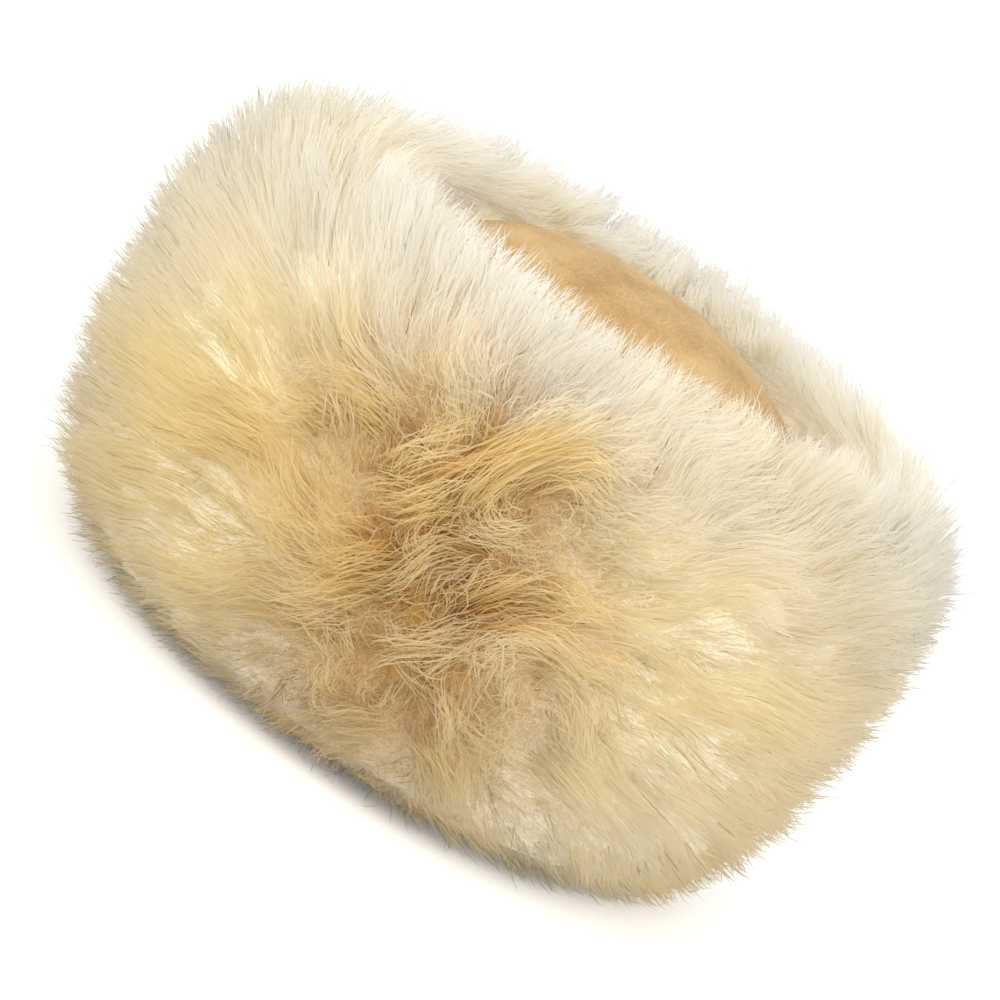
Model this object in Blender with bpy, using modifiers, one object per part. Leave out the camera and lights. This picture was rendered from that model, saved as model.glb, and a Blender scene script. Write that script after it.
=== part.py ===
"""Sheepskin hat: a domed suede crown with a turned-up brim of long-wool sheepskin.

Blender 4.5, in metres, +Z up. The front of the hat is towards -Y and the wearer's left is +X.
The origin is the middle of the hat's footprint, on the surface that it rests on.
"""

import math
import random

import bmesh
import bpy
from mathutils import Matrix, Vector

# Head opening of a 57 cm hat, at the inner face of the crown's wall
HEAD_LENGTH = 0.196
HEAD_WIDTH = 0.168

# Crown: a suede cap, straight at the wall and domed above it
SUEDE_THICKNESS = 0.002
CROWN_TOP = 0.183
DOME_RISE = 0.084
DOME_POWER = 2.3
CROWN_HEM = 0.030
DOME_STEPS = 10

# Brim: the skin turns up round a bend below the crown's hem and stands clear of the crown
SKIN_THICKNESS = 0.0025
BEND_RADIUS = 0.0085
BEND_HEIGHT = 0.027
BRIM_TOP = 0.138
BRIM_LEAN = 0.0035
BEND_STEPS = 4

# Clearances between touching pieces
SEAM_GAP = 0.0003
DOME_GAP = 0.0005

# Turned shapes
STEPS_ROUND = 48

HALF_LENGTH = HEAD_LENGTH / 2 + SUEDE_THICKNESS
HALF_WIDTH = HEAD_WIDTH / 2 + SUEDE_THICKNESS
MEAN_HALF = (HALF_LENGTH + HALF_WIDTH) / 2
WALL_TOP = CROWN_TOP - DOME_RISE

# The packed wool's outer side, from under the bend, round the outside and over the crown.
# share: how far out over the crown's oval a point lies, 1 at the crown's wall
# out: how far beyond that wall it lies. height: above the floor.
FLEECE_OUTSIDE = (
    # share, out, height
    (0.985, 0.000, 0.010),
    (1.000, 0.004, -0.004),
    (1.000, 0.016, -0.004),
    (1.000, 0.032, 0.008),
    (1.000, 0.042, 0.032),
    (1.000, 0.046, 0.062),
    (1.000, 0.048, 0.094),
    (1.000, 0.047, 0.122),
    (1.000, 0.043, 0.144),
    (1.000, 0.034, 0.161),
    (1.000, 0.021, 0.171),
    (1.000, 0.004, 0.175),
    (0.910, 0.000, 0.174),
    (0.830, 0.000, 0.172),
    (0.765, 0.000, 0.169),
)

# The packed wool's inner side, back down. It runs inside the crown and the skin, which cut it.
FLEECE_INSIDE = (
    # share, out, height
    (0.720, 0.0000, 0.1580),
    (0.790, 0.0000, 0.1480),
    (0.860, 0.0000, 0.1420),
    (1.000, 0.0000, 0.1420),
    (1.000, 0.0130, 0.1410),
    (1.000, 0.0168, 0.1340),
    (1.000, 0.0135, 0.0270),
    (1.000, 0.0114, 0.0219),
    (1.000, 0.0063, 0.0198),
    (1.000, 0.0000, 0.0160),
)

# The wool is deeper at the front than at the back. FRONT_FULLNESS is how far its outermost points are
# carried to the front, and points less than FULL_DEPTH beyond the crown's wall are carried less.
FRONT_FULLNESS = 0.006
FULL_DEPTH = 0.055

# The rows of FLEECE_OUTSIDE between which locks grow
FIRST_LOCK_POINT = 2
LAST_LOCK_POINT = 13

# The rows of locks, from the lowest up.
# along: share of the way between those two rows. sunk: length of the root inside the packed wool.
# shown: length that stands out of it. rise: how far the lock leans up, or down where negative.
LOCK_ROWS = (
    # along, sunk, shown, rise
    (0.07, 0.012, 0.012, -0.50),
    (0.20, 0.014, 0.015, -0.40),
    (0.33, 0.015, 0.016, -0.15),
    (0.46, 0.015, 0.016, 0.00),
    (0.59, 0.015, 0.016, 0.20),
    (0.71, 0.014, 0.014, 0.30),
    (0.82, 0.012, 0.009, 0.70),
    (0.93, 0.010, 0.006, 0.90),
)

# One lock: its pitch round the brim, its radius at the root, and the share of that lost at the tip
LOCK_SPACING = 0.034
LOCK_RADIUS = 0.0165
LOCK_TAPER = 0.62
LOCK_CURL = 0.009
LOCK_SIDES = 8
LOCK_RINGS = 7

# How far locks stray from their rows: shares of the spacing, of the section, and of the lean
STRAY_ROUND = 0.22
STRAY_ALONG = 0.04
STRAY_SIDEWAYS = 0.35
STRAY_RISE = 0.20
LEAST_SIZE = 0.85
MOST_SIZE = 1.15
NORMAL_STEP = 0.02
SEED = 11

# Fusing the locks to the packed wool
VOXEL = 0.0042
KEPT_FACES = 0.115

# The block below the floor that flattens the wool where the hat rests
FLOOR_BLOCK_SIDE = 0.6
FLOOR_BLOCK_DEPTH = 0.05

SUEDE_TAN = (0.62, 0.40, 0.20)
SKIN_TAN = (0.66, 0.45, 0.25)
WOOL_CREAM = (0.86, 0.76, 0.55)


def clear_scene():
    for obj in list(bpy.data.objects):
        bpy.data.objects.remove(obj)


def new_collection(name):
    collection = bpy.data.collections.new(name)
    bpy.context.scene.collection.children.link(collection)
    return collection


def plain_material(name, colour, roughness):
    material = bpy.data.materials.new(name)
    material.use_nodes = True
    shader = material.node_tree.nodes["Principled BSDF"]
    shader.inputs["Base Color"].default_value = (*colour, 1.0)
    shader.inputs["Roughness"].default_value = roughness
    shader.inputs["Metallic"].default_value = 0.0
    return material


def link_object(name, mesh, collection, parent=None):
    obj = bpy.data.objects.new(name, mesh)
    collection.objects.link(obj)
    obj.parent = parent
    return obj


def evaluated_mesh(obj):
    """The object's mesh with its modifiers applied."""
    graph = bpy.context.evaluated_depsgraph_get()
    return bpy.data.meshes.new_from_object(obj.evaluated_get(graph))


def to_oval(point):
    """Carries a point of a round turned shape to the hat's oval plan.

    Within radius 1 the radius is a share of the crown's oval, and beyond it metres outside the oval.
    """
    radius = math.hypot(point.x, point.y)
    if radius < 1e-9:
        return Vector((0.0, 0.0, point.z))
    share = min(radius, 1.0)
    out = max(radius - 1.0, 0.0)
    across = point.x / radius
    along = point.y / radius
    return Vector((across * (HALF_WIDTH * share + out), along * (HALF_LENGTH * share + out), point.z))


def radius_beyond_wall(out):
    """Radius of a point that lies out metres from the crown's wall, inside it where negative."""
    return 1.0 + (out if out > 0 else out / MEAN_HALF)


def turned_mesh(name, profile, collection, closed=False):
    """A profile of (radius, height) turned round Z by a Screw modifier, then carried to the oval."""
    mesh = bpy.data.meshes.new(name)
    count = len(profile)
    edges = [(i, i + 1) for i in range(count - 1)]
    if closed:
        edges.append((count - 1, 0))
    mesh.from_pydata([(radius, 0.0, height) for radius, height in profile], edges, [])
    guide = link_object(name + "_profile", mesh, collection)
    screw = guide.modifiers.new("Turn", "SCREW")
    screw.steps = STEPS_ROUND
    screw.render_steps = STEPS_ROUND
    screw.use_merge_vertices = True
    screw.merge_threshold = 0.00001
    bpy.context.view_layer.update()
    turned = evaluated_mesh(guide)
    bpy.data.objects.remove(guide)
    for vertex in turned.vertices:
        vertex.co = to_oval(vertex.co)
    turned.name = name
    return turned


def face_outwards(mesh):
    edit = bmesh.new()
    edit.from_mesh(mesh)
    bmesh.ops.remove_doubles(edit, verts=edit.verts, dist=0.00001)
    bmesh.ops.recalc_face_normals(edit, faces=edit.faces)
    edit.to_mesh(mesh)
    edit.free()


def thicken(obj, thickness):
    """Gives an open surface a wall that grows inwards from it."""
    solidify = obj.modifiers.new("Wall", "SOLIDIFY")
    solidify.thickness = thickness
    solidify.offset = -1.0
    solidify.use_even_offset = True


def cut(obj, cutter, name):
    boolean = obj.modifiers.new(name, "BOOLEAN")
    boolean.operation = "DIFFERENCE"
    boolean.solver = "EXACT"
    boolean.object = cutter


def make_cutter(name, mesh, collection, parent):
    cutter = link_object(name, mesh, collection, parent)
    cutter.hide_render = True
    cutter.display_type = "WIRE"
    return cutter


def dome_profile(grow=0.0):
    """The crown's outer side from its apex down to the top of its wall."""
    points = [(0.0, CROWN_TOP + grow)]
    for step in range(1, DOME_STEPS + 1):
        turn = math.pi / 2 * (1 - step / DOME_STEPS)
        share = math.cos(turn) ** (2 / DOME_POWER)
        rise = max(math.sin(turn), 0.0) ** (2 / DOME_POWER)
        points.append((share * radius_beyond_wall(grow), WALL_TOP + (DOME_RISE + grow) * rise))
    return points


def make_crown(collection, parent, material):
    profile = dome_profile() + [(1.0, CROWN_HEM)]
    mesh = turned_mesh("crown", profile, collection)
    mesh.materials.append(material)
    mesh.shade_smooth()
    crown = link_object("crown", mesh, collection, parent)
    thicken(crown, SUEDE_THICKNESS)
    return crown


def skin_profile(grow=0.0):
    """The brim skin's wool side: down the outside, round the bend and up to the crown's hem."""
    hem_side = -SUEDE_THICKNESS / 2 - SKIN_THICKNESS / 2
    middle = hem_side + BEND_RADIUS
    outer = middle + BEND_RADIUS
    radius = BEND_RADIUS + grow
    points = [(radius_beyond_wall(outer + BRIM_LEAN + grow), BRIM_TOP + grow)]
    for step in range(BEND_STEPS + 1):
        turn = math.pi * step / BEND_STEPS
        out = middle + radius * math.cos(turn)
        points.append((radius_beyond_wall(out), BEND_HEIGHT - radius * math.sin(turn)))
    points.append((radius_beyond_wall(hem_side - grow), CROWN_HEM - SEAM_GAP))
    return points


def make_brim_skin(collection, parent, material):
    mesh = turned_mesh("brim_skin", skin_profile(), collection)
    mesh.materials.append(material)
    mesh.shade_smooth()
    skin = link_object("brim_skin", mesh, collection, parent)
    thicken(skin, SKIN_THICKNESS)
    return skin


def section_place(along):
    """(radius, height) at a share of the way along the stretch of the section that grows locks."""
    rows = FLEECE_OUTSIDE[FIRST_LOCK_POINT : LAST_LOCK_POINT + 1]
    points = [Vector((share + out, height)) for share, out, height in rows]
    true_size = [Vector((MEAN_HALF * share + out, height)) for share, out, height in rows]
    lengths = [(b - a).length for a, b in zip(true_size, true_size[1:])]
    wanted = along * sum(lengths)
    for index, length in enumerate(lengths):
        if wanted <= length or index == len(lengths) - 1:
            part = min(wanted / length, 1.0)
            return points[index].lerp(points[index + 1], part)
        wanted -= length


def fleece_point(angle, along):
    radius, height = section_place(along)
    return to_oval(Vector((radius * math.cos(angle), radius * math.sin(angle), height)))


def fleece_normal(angle, along):
    """The outward direction of the packed wool's surface."""
    low = fleece_point(angle, max(along - NORMAL_STEP, 0.0))
    high = fleece_point(angle, min(along + NORMAL_STEP, 1.0))
    back = fleece_point(angle - NORMAL_STEP, along)
    ahead = fleece_point(angle + NORMAL_STEP, along)
    return (ahead - back).cross(high - low).normalized()


def add_lock(edit, root, direction, curl, length, radius):
    """A pointed, curved lock of wool: a ball drawn out to a tip."""
    made = bmesh.ops.create_uvsphere(edit, u_segments=LOCK_SIDES, v_segments=LOCK_RINGS, radius=1.0)
    turn = direction.to_track_quat("Z", "Y").to_matrix()
    for vertex in made["verts"]:
        rise = (vertex.co.z + 1) / 2
        taper = radius * (1 - LOCK_TAPER * rise)
        local = Vector((vertex.co.x * taper, vertex.co.y * taper, rise * length))
        vertex.co = root + turn @ local + curl * rise * rise


def make_locks():
    """Rows of locks round the brim, each row set half a lock off the one below it."""
    chance = random.Random(SEED)
    edit = bmesh.new()
    for row, (along, sunk, shown, rise) in enumerate(LOCK_ROWS):
        around = math.pi * (fleece_point(0.0, along).x + fleece_point(math.pi / 2, along).y)
        count = round(around / LOCK_SPACING)
        for place in range(count):
            shift = 0.5 * (row % 2) + chance.uniform(-STRAY_ROUND, STRAY_ROUND)
            angle = 2 * math.pi * (place + shift) / count
            spot = along + chance.uniform(-STRAY_ALONG, STRAY_ALONG)
            outwards = fleece_normal(angle, spot)
            sideways = Vector((-math.sin(angle), math.cos(angle), 0.0))
            upwards = outwards.cross(sideways)
            swing = chance.uniform(-STRAY_SIDEWAYS, STRAY_SIDEWAYS)
            lift = rise + chance.uniform(-STRAY_RISE, STRAY_RISE)
            direction = (outwards + sideways * swing + upwards * lift).normalized()
            curl = (sideways * chance.uniform(-1, 1) + upwards * chance.uniform(-1, 1)) * LOCK_CURL
            radius = LOCK_RADIUS * chance.uniform(LEAST_SIZE, MOST_SIZE)
            length = sunk + shown * chance.uniform(LEAST_SIZE, MOST_SIZE)
            add_lock(edit, fleece_point(angle, spot) - direction * sunk, direction, curl, length, radius)
    mesh = bpy.data.meshes.new("locks")
    edit.to_mesh(mesh)
    edit.free()
    return mesh


def keep_largest_body(mesh):
    """Drops the crumbs that fusing the locks leaves beside the wool."""
    edit = bmesh.new()
    edit.from_mesh(mesh)
    waiting = set(edit.verts)
    bodies = []
    while waiting:
        front = [waiting.pop()]
        body = list(front)
        while front:
            for edge in front.pop().link_edges:
                for vertex in edge.verts:
                    if vertex in waiting:
                        waiting.discard(vertex)
                        front.append(vertex)
                        body.append(vertex)
        bodies.append(body)
    bodies.sort(key=len)
    crumbs = [vertex for body in bodies[:-1] for vertex in body]
    bmesh.ops.delete(edit, geom=crumbs, context="VERTS")
    edit.to_mesh(mesh)
    edit.free()


def fill_out_front(mesh):
    """Carries the wool's outer side a little to the front and leaves its inner side on the skin."""
    for vertex in mesh.vertices:
        share = math.hypot(vertex.co.x / HALF_WIDTH, vertex.co.y / HALF_LENGTH)
        out = max(share - 1.0, 0.0) * MEAN_HALF
        vertex.co.y -= FRONT_FULLNESS * min(out / FULL_DEPTH, 1.0)


def fused_wool(body, locks, collection):
    """One closed surface round the packed wool and its locks."""
    edit = bmesh.new()
    edit.from_mesh(body)
    edit.from_mesh(locks)
    joined = bpy.data.meshes.new("fleece_joined")
    edit.to_mesh(joined)
    edit.free()
    guide = link_object("fleece_joined", joined, collection)
    fuse = guide.modifiers.new("Fuse", "REMESH")
    fuse.mode = "VOXEL"
    fuse.voxel_size = VOXEL
    fuse.use_smooth_shade = True
    fewer = guide.modifiers.new("Fewer", "DECIMATE")
    fewer.ratio = KEPT_FACES
    bpy.context.view_layer.update()
    fused = evaluated_mesh(guide)
    bpy.data.objects.remove(guide)
    keep_largest_body(fused)
    fill_out_front(fused)
    fused.name = "fleece"
    return fused


def make_floor_space(collection, parent):
    """The block below the floor, which trims the wool flat where the hat rests."""
    edit = bmesh.new()
    bmesh.ops.create_cube(edit, size=1.0)
    edit.transform(Matrix.Diagonal((FLOOR_BLOCK_SIDE, FLOOR_BLOCK_SIDE, FLOOR_BLOCK_DEPTH, 1.0)))
    edit.transform(Matrix.Translation((0.0, 0.0, -FLOOR_BLOCK_DEPTH / 2)))
    mesh = bpy.data.meshes.new("floor_space")
    edit.to_mesh(mesh)
    edit.free()
    return make_cutter("floor_space", mesh, collection, parent)


def make_dome_space(collection, parent):
    """The room that the crown's dome takes, with its clearance."""
    mesh = turned_mesh("dome_space", dome_profile(DOME_GAP) + [(0.0, WALL_TOP)], collection)
    face_outwards(mesh)
    return make_cutter("dome_space", mesh, collection, parent)


def make_pocket_space(collection, parent):
    """The room that the skin and the gap between it and the crown take, with their clearance."""
    wool_side = skin_profile(SEAM_GAP)
    top_of_head_side = (wool_side[-1][0], wool_side[0][1])
    mesh = turned_mesh("pocket_space", wool_side + [top_of_head_side], collection, closed=True)
    face_outwards(mesh)
    return make_cutter("pocket_space", mesh, collection, parent)


def make_fleece(collection, cutters, parent, material):
    """The wool: its packed body and its locks in one piece, then fitted to what it grows on."""
    section = [(share + out, height) for share, out, height in FLEECE_OUTSIDE + FLEECE_INSIDE]
    body = turned_mesh("fleece_body", section, collection, closed=True)
    face_outwards(body)
    mesh = fused_wool(body, make_locks(), collection)
    mesh.materials.clear()
    mesh.materials.append(material)
    fleece = link_object("fleece", mesh, collection, parent)
    cut(fleece, make_dome_space(cutters, parent), "Dome")
    cut(fleece, make_pocket_space(cutters, parent), "Pocket")
    cut(fleece, make_floor_space(cutters, parent), "Floor")
    return fleece


def centre_of_footprint(obj):
    """The x and y of the middle of an object's box."""
    mesh = evaluated_mesh(obj)
    xs = [vertex.co.x for vertex in mesh.vertices]
    ys = [vertex.co.y for vertex in mesh.vertices]
    bpy.data.meshes.remove(mesh)
    return Vector(((min(xs) + max(xs)) / 2, (min(ys) + max(ys)) / 2, 0.0))


def main():
    clear_scene()
    hat_parts = new_collection("sheepskin_hat")
    cutters = new_collection("cutters")
    suede = plain_material("suede", SUEDE_TAN, 0.95)
    skin = plain_material("skin", SKIN_TAN, 0.9)
    wool = plain_material("wool", WOOL_CREAM, 1.0)
    hat = link_object("hat", None, hat_parts)
    make_crown(hat_parts, hat, suede)
    make_brim_skin(hat_parts, hat, skin)
    fleece = make_fleece(hat_parts, cutters, hat, wool)
    bpy.context.view_layer.update()
    hat.location = -centre_of_footprint(fleece)


main()
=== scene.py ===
"""Sheepskin hat with a domed suede crown and a deep turned-up brim of long cream wool: its looks.

Blender 4.5, in metres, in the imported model's frame: +Z up, the front towards -Y, the wearer's left +X.

Places in the wool are given by two numbers. The angle goes round the hat, from the wearer's left towards
the back. "Along" goes up the line of the wool's tips, from 0 under the brim's bend to 1 over the crown.
"""

import math

import bpy
import numpy as np
from mathutils import Matrix, Vector
from mathutils.kdtree import KDTree


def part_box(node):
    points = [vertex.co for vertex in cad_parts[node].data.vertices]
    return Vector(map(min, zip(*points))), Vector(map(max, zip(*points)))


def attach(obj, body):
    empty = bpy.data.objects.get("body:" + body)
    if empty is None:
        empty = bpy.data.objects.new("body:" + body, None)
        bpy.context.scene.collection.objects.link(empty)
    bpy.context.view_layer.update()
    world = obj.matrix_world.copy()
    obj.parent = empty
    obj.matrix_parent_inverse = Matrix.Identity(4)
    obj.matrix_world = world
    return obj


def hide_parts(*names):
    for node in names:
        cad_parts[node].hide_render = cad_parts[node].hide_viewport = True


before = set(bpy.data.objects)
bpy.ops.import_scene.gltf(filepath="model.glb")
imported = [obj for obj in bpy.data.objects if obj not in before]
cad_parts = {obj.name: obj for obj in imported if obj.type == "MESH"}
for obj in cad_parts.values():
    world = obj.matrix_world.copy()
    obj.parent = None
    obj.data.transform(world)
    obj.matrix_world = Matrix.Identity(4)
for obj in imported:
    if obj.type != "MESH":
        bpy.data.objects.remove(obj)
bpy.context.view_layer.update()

TURN = 2 * math.pi
TINY = 1e-12

# Chance: one run of draws for the strands, and seeds of their own for the slow waves
SEED = 23
SWAY_SEEDS = (SEED + 1, SEED + 2)
WARM_SEED = SEED + 3
GIVE_SEED = SEED + 6
SWIRL_SEED = SEED + 7
BROWN_SEED = SEED + 9
chance = np.random.default_rng(SEED)

# The hat's sizes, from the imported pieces
crown_low, crown_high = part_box("crown")
skin_low, skin_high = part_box("brim_skin")
CENTRE_X = (crown_low.x + crown_high.x) / 2
CENTRE_Y = (crown_low.y + crown_high.y) / 2
HALF_WIDTH = (crown_high.x - crown_low.x) / 2
HALF_LENGTH = (crown_high.y - crown_low.y) / 2
MEAN_HALF = (HALF_WIDTH + HALF_LENGTH) / 2
CROWN_TOP = crown_high.z
CROWN_HEM = crown_low.z
BRIM_TOP = skin_high.z
BRIM_BOTTOM = skin_low.z

# The crown's dome, as it is built
DOME_RISE = 0.084
DOME_POWER = 2.3
SUEDE_THICKNESS = 0.002
WALL_TOP = CROWN_TOP - DOME_RISE

# The crown's rows from the apex to the wall and down the wall, and how far out its top row lies
DOME_ROWS = 28
WALL_ROWS = 4
CROWN_STEPS = 120
APEX_SHARE = 0.002

# The crown's soft unevenness: its depth, and how fine and how far down it goes
GIVE_SIZE = 0.0005
GIVE_FINENESS = 3
GIVE_WAVES = 4
GIVE_FALL = 1.4

# The brim's skin, as it is built
SKIN_THICKNESS = 0.0025
BEND_RADIUS = 0.0085
BRIM_LEAN = 0.0035
SEAM_GAP = 0.0003
BEND_ROWS = 16
BRIM_STEPS = 144

# Where the wool grows and how far it reaches, from under the bend, up the outside and over the crown.
# root_out, root_height: its root, beyond the crown's wall and above the floor
# root_turn: the way it leaves the skin, in degrees above straight out
# share, tip_out, tip_height: its tip, with share 1 at the crown's wall and less over the crown
# tip_turn: the way its tip points, in degrees above straight out
WOOL_SECTION = (
    (0.0015, 0.0180, -95, 0.985, 0.000, 0.003, -40),
    (0.0060, 0.0180, -90, 1.000, 0.014, 0.002, -30),
    (0.0110, 0.0195, -60, 1.000, 0.026, 0.003, -25),
    (0.0145, 0.0260, -25, 1.000, 0.038, 0.011, -30),
    (0.0152, 0.0380, -8, 1.000, 0.051, 0.030, -22),
    (0.0159, 0.0560, -3, 1.000, 0.0595, 0.056, -8),
    (0.0167, 0.0780, 0, 1.000, 0.0635, 0.086, 2),
    (0.0175, 0.0970, 3, 1.000, 0.0645, 0.114, 8),
    (0.0181, 0.1110, 6, 1.000, 0.063, 0.135, 18),
    (0.0186, 0.1210, 12, 1.000, 0.059, 0.153, 32),
    (0.0190, 0.1290, 25, 1.000, 0.051, 0.170, 48),
    (0.0193, 0.1345, 45, 1.000, 0.035, 0.182, 72),
    (0.0192, 0.1375, 70, 1.000, 0.014, 0.188, 105),
    (0.0188, 0.1385, 85, 0.940, 0.000, 0.187, 135),
    (0.0182, 0.1388, 95, 0.860, 0.000, 0.180, 160),
    (0.0174, 0.1388, 105, 0.790, 0.000, 0.170, 190),
    (0.0168, 0.1388, 110, 0.750, 0.000, 0.163, 210),
)
ROOT_OUT, ROOT_HEIGHT, ROOT_TURN, TIP_SHARE, TIP_OUT, TIP_HEIGHT, TIP_TURN = range(7)

# The rows whose tips climb the outside, from the hem to the crest
RISING_ROWS = slice(2, 13)

# The underwool that backs the long wool
WOOL_BACKING = (
    # share, out, height
    (1.000, 0.0015, 0.0150),
    (1.000, 0.0050, 0.0060),
    (1.000, 0.0160, 0.0060),
    (1.000, 0.0290, 0.0150),
    (1.000, 0.0370, 0.0360),
    (1.000, 0.0420, 0.0650),
    (1.000, 0.0440, 0.0950),
    (1.000, 0.0425, 0.1220),
    (1.000, 0.0380, 0.1420),
    (1.000, 0.0280, 0.1550),
    (1.000, 0.0150, 0.1640),
    (0.985, 0.0000, 0.1625),
    (0.920, 0.0000, 0.1575),
    (0.865, 0.0000, 0.1530),
    (0.830, 0.0000, 0.1495),
)
BACKING_PARTS = 4
BACKING_STEPS = 216
BACKING_EDGE = 0.5

# The underwool's swellings, broad and fine
TUFTS = (
    # size, around, upward, seed
    (0.0012, 9, 50, SEED + 4),
    (0.0007, 23, 120, SEED + 5),
)

# The wool's mean depth at its tips. It is deeper at the front: how far its tips are carried there, the depth
# at which they are carried that far, and how many times as far the deepest may go.
WOOL_DEPTH = 0.05
MEAN_TIP_RADIUS = MEAN_HALF + WOOL_DEPTH
FRONT_FULLNESS = 0.006
FULL_DEPTH = 0.055
MOST_FULLNESS = 1.3

# Slow waves: how many are added up, and how many times each swings round the hat and up its side
FIELD_WAVES = 6
WAVES_AROUND = (1, 7)
WAVES_UPWARD = (2, 9)

# Lines from which the wool falls apart to both sides and shows its roots
# place: its angle, in degrees. height: its middle, in metres.
# tilt: degrees that its top leans to the front. half: half its length. spread: how far tips are carried.
PARTINGS = (
    (-4, 0.094, 28, 0.074, 0.018),
    (124, 0.095, 15, 0.050, 0.024),
    (156, 0.070, -30, 0.045, 0.028),
    (190, 0.092, 25, 0.060, 0.024),
    (214, 0.062, -10, 0.040, 0.024),
    (242, 0.095, 30, 0.045, 0.020),
)

# A parting carries tips over from this close, up to this far, and past its ends by this share of its half
PARTING_WIDTH = 0.022
PARTING_REACH = 0.075
PARTING_END = 1.3
ENDS_PUSH = 0.45

# The tangle along a parting, and the groove that it makes in the underwool
TANGLE_WIDTH = 0.056
TANGLE_END = 1.1
PARTING_DEPTH = 0.008

# The brown deep in a tangle, partly the wool's own brown roots and partly painted shade in the cracks between
# its locks: how fast it fades beside the parting, and the patches that it comes in
BROWN_FALL = 1.8
BROWN_SHARE = 0.55
BROWN_CHANCE = 0.6
BROWN_FINENESS = 5

# Places where the wool is yellower: the angle in degrees, the height in metres and how much yellower
WARM_PLACES = (
    (-36, 0.085, 0.75),
    (-8, 0.115, 0.60),
    (12, 0.142, 0.45),
    (32, 0.100, 0.55),
    (96, 0.110, 0.50),
    (150, 0.060, 0.60),
    (205, 0.100, 0.45),
    (258, 0.075, 0.60),
)
WARM_WIDTH = 0.045
WARM_CHANCE = 0.10

# Painted shade: the wool's lower edge is painted yellower too, as if shaded from the light above, and this is
# gone at this height
HEM_PAINTED_SHADE = 0.70
PAINTED_SHADE_TOP = 0.171

# How far the wool is combed over sideways: away from the main parting, in slow sways, and in swirls
COMB_SIZE = 0.027
COMB_PLACE = -4.0
SWAY_SIZE = 0.006
SWAY_WAVES = 5
SOFT_SWIRL_SIZE = 0.010
SWIRL_SIZE = 0.044
SWIRL_WAVES = 9
SWIRL_LENGTHS = (0.026, 0.075)
SWIRL_SCALE = math.sqrt(2 / SWIRL_WAVES)

# How closely locks, wisps and curls stand, and how far each may be off its place in its row
LOCK_SPACING = 0.0145
WISP_SPACING = 0.0053
CURL_SPACING = 0.0048
JITTER_AROUND = 0.40
JITTER_UPWARD = 0.45

# More wisps grow from this share of the way along on, and in tangles
LIP_START = 0.80
TANGLED_MORE = 0.80

# How a lock differs from the next
LOCK_STRAY = 0.0050
LOCK_REACH = (0.96, 1.02)
LOCK_TURNS = (0.7, 1.5)
LAYERED = 0.30

# How strongly wisps are drawn to the middle of their lock: anywhere, in a tangle and on the crest
LOCK_PULL = 0.26
TANGLED_LOCK_PULL = 0.46
CREST_LOCK_PULL = 0.22
CREST_START = 0.70
CREST_FULL = 0.84
PULL_RANGE = (0.5, 1.3)

# How a wisp differs from the next in its lock
WISP_STRAY = 0.0020
WISP_REACH = (0.95, 1.01)
SHORT_REACH = (0.60, 0.82)
SHORT_SHARE = 0.10
TANGLED_SHORT_SHARE = 0.30
WAVE_SIZE = 0.0014
WISP_WAVE = (0.4, 1.3)
TANGLED_WAVE = 1.5
WISP_TURNS = (0.85, 1.15)
TANGLED_TURNS = 0.5
WISP_PHASE = 0.6
LOCK_TONE = 0.6
WISP_TONE = 0.35

# Strands: how they are laid out in a wisp and drawn together at its tip
STRANDS_IN_WISP = 7
WISP_RADIUS = 0.0030
WISP_PULL = 0.28
TANGLED_WISP_PULL = 0.34
STRAND_REACH = (0.90, 1.0)
STRAND_WAVE = (0.7, 1.3)
STRAND_PHASE = 0.3
STRAND_TONE = 0.25
FLUFF = 0.0016

# A few strands fly away from their wisp
FLYAWAY_SHARE = 0.04
TANGLED_FLYAWAY_SHARE = 0.10
FLYAWAY_PULL = 0.2
FLYAWAY_REACH = (0.9, 1.05)
FLYAWAY_FLUFF = 0.0034

# A strand is drawn from this share of its length on, where it comes out of the underwool
STRAND_POINTS = 6
STRAND_START = 0.38
STRAND_TIMES = np.linspace(STRAND_START, 1, STRAND_POINTS)

# How a strand bends from its root's way to its tip's, and how flat it lies, combed and in a tangle
ROOT_BEND = 0.38
TIP_BEND = 0.36
TIP_STRAIGHT = 0.5
COMBED_FLAT = 0.35
LYING_FLAT = 1.1

# A strand's waves: how they grow, and how they swing on both sides of its line
WAVE_GROWTH = 1.1
WAVE_TILT = 20.0
OTHER_RATE = 0.9
OTHER_PHASE = 1.3

# Short curls close over the underwool
CURL_POINTS = 5
CURL_START = 0.55
CURL_CROWD = 1.6
CURL_STRAY = 0.006
CURL_TURNING = 0.8
CURL_REACH = (0.60, 0.82)
TANGLED_CURL_REACH = 0.08
CURL_SIZE = 0.0022
CURL_SIZES = (0.5, 1.3)
CURL_TURNS = (1.4, 2.8)
CURL_GROWN = 0.45
CURL_GROWTH = 0.50
CURL_AGES = (0.85, 1.0)

# Strands stay this far above the floor and the crown, and reach no higher than this above its top
FLOOR_LIFT = (0.0004, 0.0030)
CROWN_LIFT = (0.0008, 0.0045)
CROWN_EDGE = 0.995
TOP_RISE = (0.008, 0.013)

# A strand's ribbon: its width at the root and the tip, and how that varies
STRAND_WIDTH = 0.00050
TIP_WIDTH = 0.00008
TAPER = 2.4
FINE_SHARE = 0.40
FINE_WIDTH = 0.35
WIDTH_RANGE = (0.6, 1.25)

# How far ribbons are turned about their own line, and how softly and how round they are shaded
RIBBON_TURN = 0.35
WOOL_MIDDLE = 0.08
SOFTNESS = 0.85
ROUNDNESS = 0.42

# The brim's sectors, each with a piece of long wool of its own
SECTORS = 6

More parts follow.
